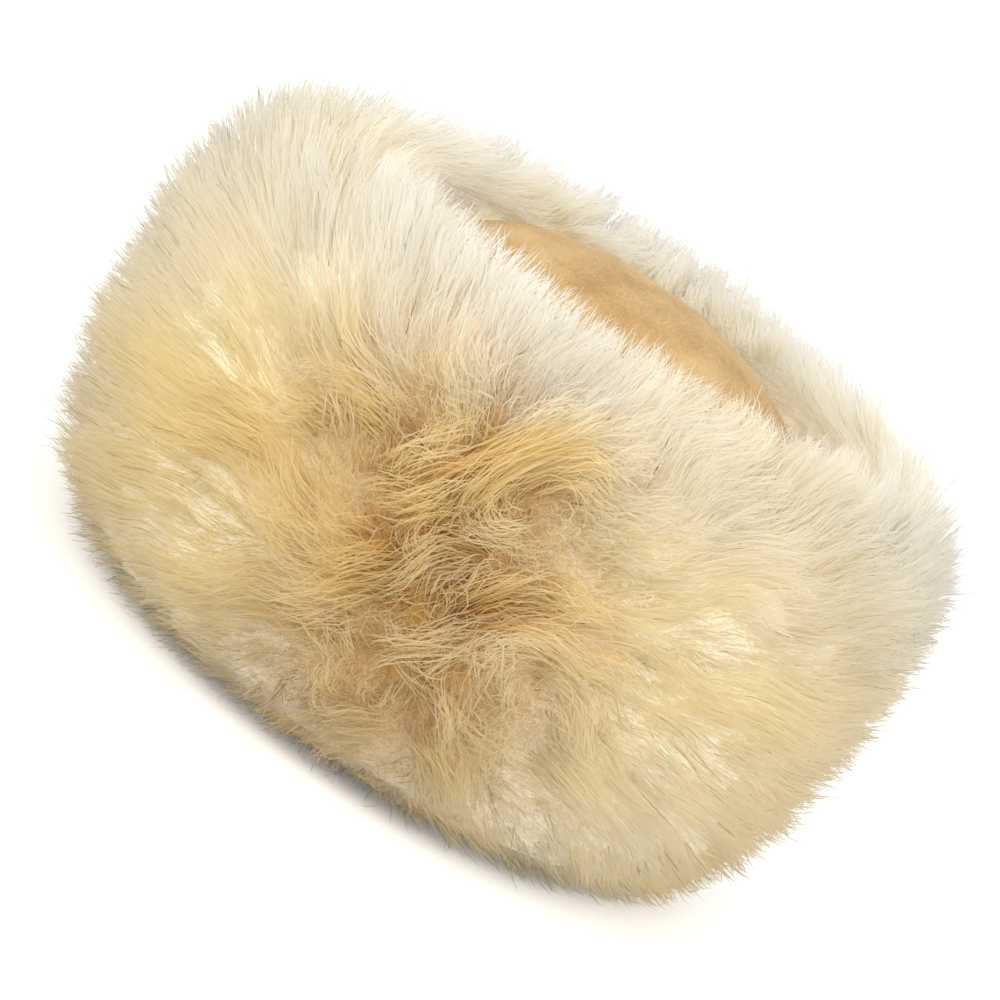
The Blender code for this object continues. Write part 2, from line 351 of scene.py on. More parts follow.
# The wool's colours from its root to its tip, as (how far grown, colour)
SMOOTH_WOOL = (
    (0.30, (0.95, 0.865, 0.68)),
    (0.50, (0.980, 0.942, 0.835)),
    (0.70, (0.990, 0.968, 0.907)),
    (1.00, (0.993, 0.981, 0.939)),
)
# In a tangle the wool runs to dark brown low down: partly its own brown roots, partly painted shade in the
# cracks between locks
TANGLED_AND_SHADED_WOOL = (
    (0.44, (0.27, 0.115, 0.03)),
    (0.56, (0.63, 0.36, 0.115)),
    (0.64, (0.94, 0.785, 0.42)),
    (0.74, (0.985, 0.915, 0.68)),
    (0.86, (0.990, 0.960, 0.83)),
)
# The yellow that the warm places and the painted shade of the lower wool multiply the colour towards
WARM_WOOL = (0.985, 0.895, 0.62)
TONE_SHIFT = 0.04

# The underwool's colours over its noise, and how much of that noise is fine
UNDERWOOL_FINE_SHARE = 0.5
PALE_UNDERWOOL = ((0.36, (0.92, 0.82, 0.60)), (0.64, (0.97, 0.915, 0.76)))
# Brown in the partings' grooves: partly the underwool's own colour, partly painted shade in the grooves
BROWN_AND_SHADED_UNDERWOOL = ((0.40, (0.42, 0.21, 0.05)), (0.68, (0.74, 0.48, 0.17)))

# Light passes through the wool: how much of it, and how much deeper its colour gets on the way
THROUGH_SHARE = 0.68
THROUGH_GAMMA = 1.25

# Suede: its dark and light colours and its sheen, and how its nap sets its colour and roughness
CROWN_SUEDE = ((0.365, 0.215, 0.085), (0.55, 0.375, 0.172), 0.15)
BRIM_SUEDE = ((0.42, 0.27, 0.13), (0.58, 0.41, 0.22), 0.2)
NAP_SPREAD = {"From Min": 0.38, "From Max": 0.62}
NAP_GRAIN_SHARE = 0.42
NAP_ROUGHNESS = {"To Min": 0.86, "To Max": 1.0}

# The floor's colours, and what it casts back on the hat
FLOOR_COLOURS = ((0.3, (0.955, 0.955, 0.955)), (0.7, (0.975, 0.975, 0.975)))
FLOOR_BOUNCE = (0.30, 0.28, 0.26)
FLOOR_SHINE = 0.12
FLOOR_SIDE = 160.0

# Noises, as scale, detail and roughness
UNDERWOOL_BROAD = (90.0, 4.0, 0.55)
UNDERWOOL_FINE = (520.0, 3.0, 0.7)
NAP_PATCHES = (40.0, 5.0, 0.6)
NAP_GRAIN = (900.0, 2.0, 0.7)
FLOOR_SPECKS = (6.0, 2.0, 0.55)

# Values of the shaders' inputs
WOOL_SURFACE = {"Roughness": 0.62, "Specular IOR Level": 0.25}
UNDERWOOL_SURFACE = {"Roughness": 0.95, "Specular IOR Level": 0.1}
UNDERWOOL_BUMP = {"Strength": 0.8, "Distance": 0.003}
SUEDE_SURFACE = {"Specular IOR Level": 0.12, "Sheen Roughness": 0.45, "Sheen Tint": (0.95, 0.80, 0.55, 1)}
SUEDE_BUMP = {"Strength": 0.35, "Distance": 0.0006}
FLOOR_SURFACE = {"Roughness": 0.9, "Specular IOR Level": 0.1, "Emission Color": (1, 1, 1, 1)}
WHITE = (1, 1, 1, 1)

# A Mix node's sockets for two numbers or two colours: the first, the second and the result
MIX_SOCKETS = {"FLOAT": (2, 3, 0), "RGBA": (6, 7, 2)}

# The camera: where the photograph was taken from
CAMERA_AROUND = 0.0
CAMERA_ABOVE = 15.0
CAMERA_ROLL = 34.0
CAMERA_DISTANCE = 1.6
SEEN_WIDTH = 0.357
SENSOR = 36.0
FARTHEST_SEEN = 200.0
AIM_HEIGHT = 0.088
AIM_Y = 0.0025

# Soft lights, all turned to the hat's middle, and the bright room round it
LIGHTS = (
    # name, place, size, watts
    ("key", (1.1, -1.9, 1.0), 1.5, 30.0),
    ("fill", (1.1, 1.9, 0.95), 1.5, 24.0),
    ("front", (2.2, 0.0, 1.0), 1.5, 15.0),
)
LIT_PLACE = (0.0, 0.0, 0.09)
WORLD_GLOW = 0.96


def on_hat(angle, share, out, height):
    """Points round the hat, as an array of rows."""
    x = CENTRE_X + np.cos(angle) * (HALF_WIDTH * share + out)
    y = CENTRE_Y + np.sin(angle) * (HALF_LENGTH * share + out)
    return np.stack([x, y, np.broadcast_to(height, np.shape(x))], axis=-1)


def on_wool(angle, share, out, height):
    """Points round the hat in the wool, which is deeper at the front."""
    points = on_hat(angle, share, out, height)
    points[..., 1] -= FRONT_FULLNESS * np.clip(out / FULL_DEPTH, 0, MOST_FULLNESS)
    return points


def leaning(angle, turn):
    """Directions at these degrees above straight out from the hat."""
    angle, tilt = np.broadcast_arrays(angle, np.radians(turn))
    return np.stack([np.cos(angle) * np.cos(tilt), np.sin(angle) * np.cos(tilt), np.sin(tilt)], axis=-1)


def unit(vectors):
    """The vectors at length 1."""
    return vectors / np.maximum(np.linalg.norm(vectors, axis=-1, keepdims=True), TINY)


def wrapped(angle):
    """The same angles, between half a turn back and half a turn on."""
    return (angle + math.pi) % TURN - math.pi


def bell(distance, width):
    """1 at no distance, falling away smoothly over this width."""
    return np.exp(-((distance / width) ** 2))


def plateau(distance, width):
    """Close to 1 within this width, falling away quickly beyond it."""
    return np.exp(-((distance / width) ** 4))


def dome_height(share):
    """Height of the crown's outer side at a share of its oval."""
    inside = np.clip(share, 0, 1) ** DOME_POWER
    return WALL_TOP + DOME_RISE * (1 - inside) ** (1 / DOME_POWER)


def crown_share(points):
    """How far out over the crown's oval each point lies, 1 at its wall."""
    return np.hypot((points[..., 0] - CENTRE_X) / HALF_WIDTH, (points[..., 1] - CENTRE_Y) / HALF_LENGTH)


class WoolSection:
    """The wool's section, read at any share of the way along the line of its tips."""

    def __init__(self, rows):
        self.rows = np.array(rows, float)
        from_middle = MEAN_HALF * self.rows[:, TIP_SHARE] + self.rows[:, TIP_OUT]
        line = np.stack([from_middle, self.rows[:, TIP_HEIGHT]], axis=1)
        steps = np.linalg.norm(np.diff(line, axis=0), axis=1)
        self.length = steps.sum()
        self.along = np.concatenate([[0], np.cumsum(steps)]) / self.length

    def read(self, along, column):
        return np.interp(np.clip(along, 0, 1), self.along, self.rows[:, column])

    def along_at_height(self, height):
        """The share at which the wool's outer side has this height."""
        return np.interp(height, self.rows[RISING_ROWS, TIP_HEIGHT], self.along[RISING_ROWS])

    def roots(self, angle, along):
        return on_hat(angle, 1.0, self.read(along, ROOT_OUT), self.read(along, ROOT_HEIGHT))

    def root_ways(self, angle, along):
        return leaning(angle, self.read(along, ROOT_TURN))

    def tips(self, angle, along):
        share, out, height = (self.read(along, column) for column in (TIP_SHARE, TIP_OUT, TIP_HEIGHT))
        return on_wool(angle, share, out, height)

    def tip_ways(self, angle, along):
        return leaning(angle, self.read(along, TIP_TURN))


section = WoolSection(WOOL_SECTION)


def smooth_field(angle, along, seed, waves=FIELD_WAVES):
    """A slow random wave over the brim, about -1 to 1."""
    draw = np.random.default_rng(seed)
    angle, along = np.broadcast_arrays(angle, along)
    total = np.zeros(angle.shape)
    for _ in range(waves):
        round_hat = draw.integers(*WAVES_AROUND)
        up_brim = draw.uniform(*WAVES_UPWARD)
        total += np.sin(round_hat * angle + up_brim * along + draw.uniform(0, TURN))
    return total / math.sqrt(waves)


def each_parting(angle, along):
    """For each parting: its tilt and spread, and how far across and down its line every place lies."""
    for place, height, tilt, half, spread in PARTINGS:
        turn = math.radians(tilt)
        sideways = wrapped(angle - math.radians(place)) * MEAN_TIP_RADIUS
        upwards = (along - section.along_at_height(height)) * section.length
        across = sideways * math.cos(turn) + upwards * math.sin(turn)
        down_line = sideways * math.sin(turn) - upwards * math.cos(turn)
        yield turn, spread, across, down_line / half


def carried_by_partings(angle, along):
    """How far each tip is carried round the hat and up its side, in metres."""
    round_hat = np.zeros(np.shape(angle))
    up_side = np.zeros(np.shape(angle))
    for turn, spread, across, down_line in each_parting(angle, along):
        near = bell(across, PARTING_REACH) * plateau(down_line, PARTING_END)
        push = spread * np.tanh(across / PARTING_WIDTH) * near
        round_hat += push * math.cos(turn)
        up_side += push * math.sin(turn)
        up_side -= ENDS_PUSH * spread * down_line * near
    return round_hat, up_side


def tangled(angle, along):
    """How tangled the wool is: 1 on a parting's line, and 0 far from all of them."""
    total = np.zeros(np.shape(angle))
    for _, _, across, down_line in each_parting(angle, along):
        total += bell(across, TANGLE_WIDTH) * plateau(down_line, TANGLE_END)
    return np.minimum(total, 1.0)


def brown_patches(angle, along):
    """How much of the brown of a tangle each place shows, from 0 to 1."""
    wave = smooth_field(angle * BROWN_FINENESS, along * BROWN_FINENESS, BROWN_SEED)
    return np.clip(BROWN_SHARE + BROWN_CHANCE * wave, 0, 1)


def warmth_and_shade_at(angle, along):
    """How yellow the wool is: in the warm places, and with painted shade that is most at its lower edge and
    gone on the crest.
    """
    height = section.read(along, TIP_HEIGHT)
    # Painted shade: yellowest at the floor, fading out up the side and gone from this height up
    warmth_and_shade = HEM_PAINTED_SHADE * np.clip(1 - height / PAINTED_SHADE_TOP, 0, 1)
    for place, level, share in WARM_PLACES:
        sideways = wrapped(angle - math.radians(place)) * MEAN_TIP_RADIUS
        warmth_and_shade = warmth_and_shade + share * bell(np.hypot(sideways, height - level), WARM_WIDTH)
    return np.clip(warmth_and_shade + WARM_CHANCE * smooth_field(angle, along, WARM_SEED), 0, 1)


def scattered(spacing, start=0.0):
    """Places in staggered, jittered rows over the line of tips, from this share of it on: (angle, along)."""
    rows = round(section.length * (1 - start) / spacing)
    step = (1 - start) / rows
    angles, alongs = [], []
    for row in range(rows):
        along = start + (row + 0.5) * step
        inward = (1 - section.read(along, TIP_SHARE)) * HALF_WIDTH
        radius = MEAN_HALF + section.read(along, TIP_OUT) - inward
        count = round(TURN * radius / spacing)
        stagger = 0.5 * (row % 2)
        place = np.arange(count) + stagger + chance.uniform(-JITTER_AROUND, JITTER_AROUND, count)
        angles.append(place * TURN / count)
        alongs.append(along + chance.uniform(-JITTER_UPWARD, JITTER_UPWARD, count) * step)
    return np.concatenate(angles), np.clip(np.concatenate(alongs), 0, 1)


def swirl_flow(angle, along):
    """A random flow that gathers nowhere: how far round the hat and up its side, about -1 to 1."""
    draw = np.random.default_rng(SWIRL_SEED)
    round_hat = np.zeros(np.shape(angle))
    up_side = np.zeros(np.shape(angle))
    for _ in range(SWIRL_WAVES):
        wave = TURN / draw.uniform(*SWIRL_LENGTHS)
        turn = draw.uniform(0, TURN)
        around = round(wave * math.cos(turn) * MEAN_TIP_RADIUS)
        upward = wave * math.sin(turn)
        push = np.sin(around * angle + upward * section.length * along + draw.uniform(0, TURN))
        round_hat += push * upward / wave
        up_side -= push * around / MEAN_TIP_RADIUS / wave
    return round_hat * SWIRL_SCALE, up_side * SWIRL_SCALE


def flow(angle, along):
    """How far the wool at each place lies over, round the hat and up its side, in metres."""
    round_hat, up_side = carried_by_partings(angle, along)
    swirl_round, swirl_up = swirl_flow(angle, along)
    swirl = SOFT_SWIRL_SIZE + SWIRL_SIZE * tangled(angle, along)
    sway_round, sway_up = (SWAY_SIZE * smooth_field(angle, along, seed, SWAY_WAVES) for seed in SWAY_SEEDS)
    round_hat = round_hat + COMB_SIZE * np.sin(angle - math.radians(COMB_PLACE)) + sway_round
    return round_hat + swirl * swirl_round, up_side + sway_up + swirl * swirl_up


def combed(angle, along):
    """Over which places the wool from each place lies: rows of (angle, along) for the strand times."""
    times = np.concatenate([[0, STRAND_START / 2], STRAND_TIMES])
    rows = []
    for step in np.diff(times):
        round_hat, up_side = flow(angle, along)
        angle = angle + round_hat * step / MEAN_TIP_RADIUS
        along = np.clip(along + up_side * step / section.length, 0, 1)
        rows.append((angle, along))
    return np.array(rows[1:])


def nearest(points, targets):
    """For each point, the index of the target that lies nearest."""
    tree = KDTree(len(targets))
    for index, target in enumerate(targets):
        tree.insert(target, index)
    tree.balance()
    return np.array([tree.find(point)[1] for point in points])


def stray(count, size):
    """Chance shifts of about this size in metres, as a row of angles and a row of shares along."""
    return chance.normal(0, size, (2, count)) / np.array([[MEAN_TIP_RADIUS], [section.length]])


def make_locks():
    """The locks that wisps gather into: arrays by name, whose last side has a place for each lock."""
    angle, along = scattered(LOCK_SPACING)
    count = len(angle)
    return {
        "tips": section.tips(angle, along),
        "path": combed(angle, along) + STRAND_TIMES[:, None, None] * stray(count, LOCK_STRAY),
        "reach": chance.uniform(*LOCK_REACH, count),
        "depth": chance.uniform(0, LAYERED, count),
        "phase": chance.uniform(0, TURN, count),
        "turns": chance.uniform(*LOCK_TURNS, count),
        "tone": chance.uniform(-1, 1, count),
    }


def wisp_places():
    """Where wisps grow: everywhere, once more towards the lip over the crown, and more in tangles."""
    angle, along = np.concatenate([scattered(WISP_SPACING), scattered(WISP_SPACING, LIP_START)], axis=1)
    more = chance.random(len(angle)) < TANGLED_MORE * tangled(angle, along)
    return np.concatenate([angle, angle[more]]), np.concatenate([along, along[more]])


def make_wisps():
    """Wisps of wool, gathered into locks and given by name in the same way."""
    locks = make_locks()
    angle, along = wisp_places()
    count = len(angle)
    owner = nearest(section.tips(angle, along), locks["tips"])
    tangle = tangled(angle, along)

    path = combed(angle, along) + STRAND_TIMES[:, None, None] * stray(count, WISP_STRAY)
    away = locks["path"][..., owner] - path
    away[:, 0] = wrapped(away[:, 0])
    crest = np.interp(along, (CREST_START, CREST_FULL), (0, 1))
    pull = LOCK_PULL + TANGLED_LOCK_PULL * tangle + CREST_LOCK_PULL * crest
    pull = pull * chance.uniform(*PULL_RANGE, count)
    path = path + away * pull * STRAND_TIMES[:, None, None]

    reach = locks["reach"][owner] * chance.uniform(*WISP_REACH, count)
    short = chance.random(count) < SHORT_SHARE + TANGLED_SHORT_SHARE * tangle
    reach = np.where(short, chance.uniform(*SHORT_REACH, count), reach)
    return {
        "angle": angle,
        "along": along,
        "path": path,
        "reach": reach * (1 - locks["depth"][owner] * tangle),
        "tangle": tangle,
        # Brown deep in tangles: partly the roots' own colour, partly painted shade in the cracks
        "brown_and_shade": tangle**BROWN_FALL * brown_patches(angle, along),
        "wave": WAVE_SIZE * chance.uniform(*WISP_WAVE, count) * (1 + TANGLED_WAVE * tangle),
        "turns": locks["turns"][owner] * chance.uniform(*WISP_TURNS, count) * (1 + TANGLED_TURNS * tangle),
        "phase": locks["phase"][owner] + chance.normal(0, WISP_PHASE, count),
        "tone": np.clip(LOCK_TONE * locks["tone"][owner] + chance.normal(0, WISP_TONE, count), -1, 1),
        "warmth_and_shade": warmth_and_shade_at(angle, along),
    }


def bezier(start, leave, arrive, end, t):
    """Points on cubic curves, one curve a row."""
    t = t[..., None]
    return (
        start[:, None] * (1 - t) ** 3
        + leave[:, None] * 3 * t * (1 - t) ** 2
        + arrive[:, None] * 3 * t**2 * (1 - t)
        + end[:, None] * t**3
    )


def grown_lines(roots, root_ways, tips, tip_ways, t):
    """Curves that leave the skin one way and reach their tips another."""
    length = np.linalg.norm(tips - roots, axis=1)[:, None]
    leave = roots + root_ways * length * ROOT_BEND
    arrive = tips - unit(tip_ways + TIP_STRAIGHT * unit(tips - roots)) * length * TIP_BEND
    return bezier(roots, leave, arrive, tips, t)


def waved(lines, t, angle, size, turns, phase):
    """The lines with the wool's waves, which grow towards the tips."""
    run = lines[:, -1] - lines[:, 0]
    across = unit(np.cross(run, leaning(angle, WAVE_TILT)))
    other = unit(np.cross(run, across))
    swing = TURN * turns[:, None] * t + phase[:, None]
    growing = size[:, None] * t**WAVE_GROWTH
    lines = lines + across[:, None] * (growing * np.sin(swing))[..., None]
    return lines + other[:, None] * (growing * np.cos(OTHER_RATE * swing + OTHER_PHASE))[..., None]


def strand_lines(wisps):
    """The strands' middle lines, how far each has grown at its points, and each strand's wisp."""
    wisp = np.repeat(np.arange(len(wisps["angle"])), STRANDS_IN_WISP)
    count = len(wisp)
    own = {name: values[..., wisp] for name, values in wisps.items()}
    tangle = own["tangle"]
    t = STRAND_TIMES

    scatter = stray(count, WISP_RADIUS)
    angle = own["angle"] + scatter[0]
    along = np.clip(own["along"] + scatter[1], 0, 1)
    flyaway = chance.random(count) < FLYAWAY_SHARE + TANGLED_FLYAWAY_SHARE * tangle
    gathered = np.where(flyaway, FLYAWAY_PULL, WISP_PULL + TANGLED_WISP_PULL * tangle)
    apart = 1 - gathered * t[:, None]
    over_angle = own["path"][:, 0] + scatter[0] * apart
    over_along = np.clip(own["path"][:, 1] + scatter[1] * apart, 0, 1)

    roots = section.roots(angle, along)
    straight_tips = section.tips(angle, along)
    own_reach = np.where(flyaway, chance.uniform(*FLYAWAY_REACH, count), chance.uniform(*STRAND_REACH, count))
    reach = own["reach"] * own_reach
    tips = roots + (straight_tips - roots) * reach[:, None]
    rise = 1 - (1 - t) ** (1 + COMBED_FLAT + LYING_FLAT * tangle[:, None])
    lines = grown_lines(roots, section.root_ways(angle, along), tips, section.tip_ways(angle, along), rise)
    slide = section.tips(over_angle.T, over_along.T) - straight_tips[:, None]
    lines = lines + slide * (1 - (1 - t[:, None]) ** 2) * reach[:, None, None]
    fluff = np.where(flyaway, FLYAWAY_FLUFF, FLUFF)
    lines = lines + chance.normal(0, 1, (count, 1, 3)) * fluff[:, None, None] * (t**2)[:, None]
    phase = own["phase"] + chance.normal(0, STRAND_PHASE, count)
    lines = waved(lines, t, angle, own["wave"] * chance.uniform(*STRAND_WAVE, count), own["turns"], phase)
    return kept_clear(lines), rise * reach[:, None], wisp


def curl_places():
    """Where short curls grow: everywhere, and more of them in tangles."""
    angle, along = scattered(CURL_SPACING)
    crowd = 1 + (tangled(angle, along) * CURL_CROWD).astype(int)
    angle = np.repeat(angle, crowd)
    along = np.repeat(along, crowd)
    angle = angle + chance.normal(0, CURL_SPACING, len(angle)) / MEAN_TIP_RADIUS
    return angle, np.clip(along + chance.normal(0, CURL_SPACING, len(along)) / section.length, 0, 1)


def curl_lines():
    """Short curly strands: their middle lines, how far each has grown, and the values of its colour."""
    angle, along = curl_places()
    count = len(angle)
    tangle = tangled(angle, along)
    over_angle, over_along = combed(angle, along)[-1]
    roots = section.roots(angle, along)
    tips = section.tips(over_angle, over_along) + chance.normal(0, CURL_STRAY, (count, 3))
    reach = chance.uniform(*CURL_REACH, count) + TANGLED_CURL_REACH * tangle
    tips = roots + (tips - roots) * reach[:, None]
    ways = unit(section.tip_ways(angle, along) + chance.normal(0, CURL_TURNING, (count, 3)))
    t = np.linspace(CURL_START, 1, CURL_POINTS)
    lines = grown_lines(roots, section.root_ways(angle, along), tips, ways, t[None])
    size = CURL_SIZE * chance.uniform(*CURL_SIZES, count)
    turns = chance.uniform(*CURL_TURNS, count)
    lines = waved(lines, t, angle, size, turns, chance.uniform(0, TURN, count))
    values = {"tone": chance.uniform(-1, 1, count), "warmth_and_shade": warmth_and_shade_at(angle, along), "tangle": tangle}
    grown = (CURL_GROWN + CURL_GROWTH * t) * chance.uniform(*CURL_AGES, count)[:, None]
    return kept_clear(lines), grown, values


def kept_clear(lines):
    """Keeps lines out of the floor and the crown, and under the wool's top."""
    lines = lines.copy()
    count = len(lines)
    height = np.maximum(lines[..., 2], chance.uniform(*FLOOR_LIFT, count)[:, None])
    share = crown_share(lines)
    crown_lift = dome_height(share) + chance.uniform(*CROWN_LIFT, count)[:, None]
    over_crown = (share < CROWN_EDGE) & (height > BRIM_TOP)
    height = np.where(over_crown, np.maximum(height, crown_lift), height)
    lines[..., 2] = np.minimum(height, CROWN_TOP + chance.uniform(*TOP_RISE, count)[:, None])
    return lines


def in_scene(name, data):
    """A new object in the scene, with this mesh, camera or light."""
    thing = bpy.data.objects.new(name, data)
    bpy.context.scene.collection.objects.link(thing)
    return thing


def new_piece(name, mesh, material, nodes):
    """An object of the hat: it rides with it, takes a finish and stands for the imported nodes."""
    mesh.materials.append(material)
    piece = in_scene(name, mesh)
    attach(piece, "root")
    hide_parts(*nodes)
    return piece


def mesh_from_faces(name, points, quads, triangles=np.zeros((0, 3), int)):
    """A mesh from arrays of points, quads and triangles."""
    mesh = bpy.data.meshes.new(name)
    corners = np.concatenate([quads.ravel(), triangles.ravel()])
    sizes = np.concatenate([np.full(len(quads), 4), np.full(len(triangles), 3)])
    starts = np.concatenate([[0], np.cumsum(sizes)[:-1]])
    mesh.vertices.add(len(points))
    mesh.vertices.foreach_set("co", points.astype(np.float32).ravel())
    mesh.loops.add(len(corners))
    mesh.loops.foreach_set("vertex_index", corners.astype(np.int32))
    mesh.polygons.add(len(sizes))
    mesh.polygons.foreach_set("loop_start", starts.astype(np.int32))
    mesh.update(calc_edges=True)
    mesh.shade_smooth()
    return mesh


def add_values(mesh, name, values):
    """A number for each point of the mesh, which its material reads by name."""
    attribute = mesh.attributes.new(name, "FLOAT", "POINT")
    attribute.data.foreach_set("value", np.asarray(values, np.float32).ravel())


def ribbon_widths(count, points):
    """Half of each ribbon's width at its points: some ribbons are fine, and each tapers to its tip."""
    s = np.linspace(0, 1, points)
    half = 0.5 * (TIP_WIDTH + (STRAND_WIDTH - TIP_WIDTH) * (1 - s**TAPER))[None, :, None]
    fine = np.where(chance.random((count, 1, 1)) < FINE_SHARE, FINE_WIDTH, 1.0)
    return half * chance.uniform(*WIDTH_RANGE, (count, 1, 1)) * fine


def ribbon_faces(count, points):
    """Quads and end triangles of ribbons whose corners are numbered two by two up to the tip."""
    corners = 2 * points - 1
    quad = 2 * np.arange(points - 2)[:, None] + np.array([0, 1, 3, 2])
    tip = np.array([[corners - 3, corners - 2, corners - 1]])
    first = (np.arange(count) * corners)[:, None, None]
    return (first + quad[None]).reshape(-1, 4), (first + tip[None]).reshape(-1, 3)


def at_corners(left, right, middle):
    """What holds at each ribbon's corners: at its two sides in turn, and on its middle line at the tip."""
    pairs = np.stack([left[:, :-1], right[:, :-1]], axis=2)
    return np.concatenate([pairs.reshape(len(middle), -1, *middle.shape[2:]), middle[:, -1:]], axis=1)


def ribbon_mesh(name, lines, grown, values):
    """Tapering ribbons along the lines, each ending in a point and shaded as if it were round."""
    count, points = lines.shape[:2]
    tangents = unit(np.gradient(lines, axis=1))
    outward = unit(lines - np.array([CENTRE_X, CENTRE_Y, WOOL_MIDDLE]))
    turned = outward[:, points // 2, None] + chance.normal(0, RIBBON_TURN, (count, 1, 3))
    widthways = unit(np.cross(tangents, turned))
    half = ribbon_widths(count, points)
    facing = unit(SOFTNESS * outward + (1 - SOFTNESS) * np.cross(widthways, tangents))
    left, right = (lines + side * widthways * half for side in (-1, 1))
    left_normals, right_normals = (unit(facing + side * ROUNDNESS * widthways) for side in (-1, 1))
    quads, triangles = ribbon_faces(count, points)
    mesh = mesh_from_faces(name, at_corners(left, right, lines).reshape(-1, 3), quads, triangles)
    normals = at_corners(left_normals, right_normals, facing)
    mesh.normals_split_custom_set_from_vertices(normals.reshape(-1, 3))
    add_values(mesh, "grown", at_corners(grown, grown, grown))
    for label, numbers in values.items():
        add_values(mesh, label, np.repeat(numbers, 2 * points - 1))
    return mesh


def make_wool(material):
    """The long wool, one piece for each sector of the brim, and the short curls under it."""
    wisps = make_wisps()
    lines, grown, wisp = strand_lines(wisps)
    tone = np.clip(wisps["tone"][wisp] + chance.normal(0, STRAND_TONE, len(wisp)), -1, 1)
    sector = (wisps["angle"][wisp] % TURN / TURN * SECTORS).astype(int)
    for number in range(SECTORS):
        chosen = sector == number
        name = f"long_wool_{number + 1}"
        own = wisp[chosen]
        values = {"tone": tone[chosen], "warmth_and_shade": wisps["warmth_and_shade"][own], "tangle": wisps["brown_and_shade"][own]}
        mesh = ribbon_mesh(name, lines[chosen], grown[chosen], values)
        new_piece(name, mesh, material, ["fleece"])
    curls, curl_grown, values = curl_lines()
    mesh = ribbon_mesh("short_curls", curls, curl_grown, values)
    new_piece("short_curls", mesh, material, ["fleece"])


def turned_grid(profile, steps, wobble=None, on_surface=on_hat):
    """Points and quads of a profile of (share, out, height) rows turned round the hat."""
    angle = np.arange(steps) * TURN / steps
    points = np.stack([on_surface(angle, *row) for row in profile])
    if wobble is not None:
        points = points + wobble(points, angle)
    index = np.arange(len(profile) * steps).reshape(len(profile), steps)
    after = np.roll(index, -1, axis=1)
    quads = np.stack([index[:-1], after[:-1], after[1:], index[1:]], axis=-1).reshape(-1, 4)
    return points.reshape(-1, 3), quads


def finer(profile, parts):
    """The profile with each of its stretches cut into this many parts."""
    rows = np.array(profile, float)
    index = np.arange(len(rows))
    place = np.linspace(0, len(rows) - 1, (len(rows) - 1) * parts + 1)
    return np.stack([np.interp(place, index, column) for column in rows.T], axis=1)


def make_underwool(material):
    """The short dense wool that shows between the locks."""

    def tufts(points, angle):
        rows = np.linspace(0, 1, len(points))[:, None]
        swell = np.zeros(points.shape[:2])
        for size, around, upward, seed in TUFTS:
            swell += size * smooth_field(angle * around, rows * upward, seed)
        along = section.along_at_height(points[..., 2])
        swell -= PARTING_DEPTH * tangled(np.broadcast_to(angle, along.shape), along)
        edge = np.sin(math.pi * rows) ** BACKING_EDGE
        return leaning(angle, 0.0)[None] * (swell * edge)[..., None]

    points, quads = turned_grid(finer(WOOL_BACKING, BACKING_PARTS), BACKING_STEPS, tufts, on_wool)
    mesh = mesh_from_faces("underwool", points, quads)
    angle = np.arctan2(points[:, 1] - CENTRE_Y, points[:, 0] - CENTRE_X)
    add_values(mesh, "tangle", tangled(angle, section.along_at_height(points[:, 2])))
    new_piece("underwool", mesh, material, ["fleece"])


def dome_rows():
    """The crown's outer side from its apex down to its hem, as rows of (share, out, height)."""
    rows = [(APEX_SHARE, 0.0, CROWN_TOP)]
    for step in range(1, DOME_ROWS + 1):
        turn = math.pi / 2 * (1 - step / DOME_ROWS)
        share = max(math.cos(turn), 0.0) ** (2 / DOME_POWER)
        rows.append((max(share, APEX_SHARE), 0.0, float(dome_height(min(share, 1.0)))))
    wall = WALL_TOP - CROWN_HEM
    return rows + [(1.0, 0.0, WALL_TOP - wall * step / WALL_ROWS) for step in range(1, WALL_ROWS + 1)]


def thickened(piece, thickness):
    """Gives the surface a wall that grows inwards."""
    wall = piece.modifiers.new("Wall", "SOLIDIFY")
    wall.thickness = thickness
    wall.offset = -1.0


def make_crown(material):
    """The suede cap, with the slight unevenness of a soft shell."""

    def give(points, angle):
        rows = np.linspace(0, 1, len(points))[:, None]
        sink = GIVE_SIZE * (smooth_field(angle, rows * GIVE_FINENESS, GIVE_SEED, GIVE_WAVES) - 1)
        lowered = np.zeros(points.shape)
        lowered[..., 2] = sink * np.sin(math.pi * np.clip(rows * GIVE_FALL, 0, 1))
        return lowered

    points, quads = turned_grid(dome_rows(), CROWN_STEPS, give)
    ring = np.arange(CROWN_STEPS)
    apex = np.full(CROWN_STEPS, len(points))
    points = np.concatenate([points, points[:CROWN_STEPS].mean(axis=0, keepdims=True)])
    cap = np.stack([apex, ring, np.roll(ring, -1)], axis=1)
    mesh = mesh_from_faces("crown_suede", points, quads[:, ::-1], cap)
    thickened(new_piece("crown_suede", mesh, material, ["crown"]), SUEDE_THICKNESS)


def make_brim(material):
    """The brim's skin: down its outside, round the bend and up to the crown's hem."""
    hem_side = -(SUEDE_THICKNESS + SKIN_THICKNESS) / 2
    middle = hem_side + BEND_RADIUS
    bend_height = BRIM_BOTTOM + BEND_RADIUS
    rows = [(1.0, middle + BEND_RADIUS + BRIM_LEAN, BRIM_TOP)]
    for step in range(BEND_ROWS + 1):
        turn = math.pi * step / BEND_ROWS
        rows.append((1.0, middle + BEND_RADIUS * math.cos(turn), bend_height - BEND_RADIUS * math.sin(turn)))
    rows.append((1.0, hem_side, CROWN_HEM - SEAM_GAP))
    points, quads = turned_grid(rows, BRIM_STEPS)
    mesh = mesh_from_faces("brim_leather", points, quads[:, ::-1])
    thickened(new_piece("brim_leather", mesh, material, ["brim_skin"]), SKIN_THICKNESS)


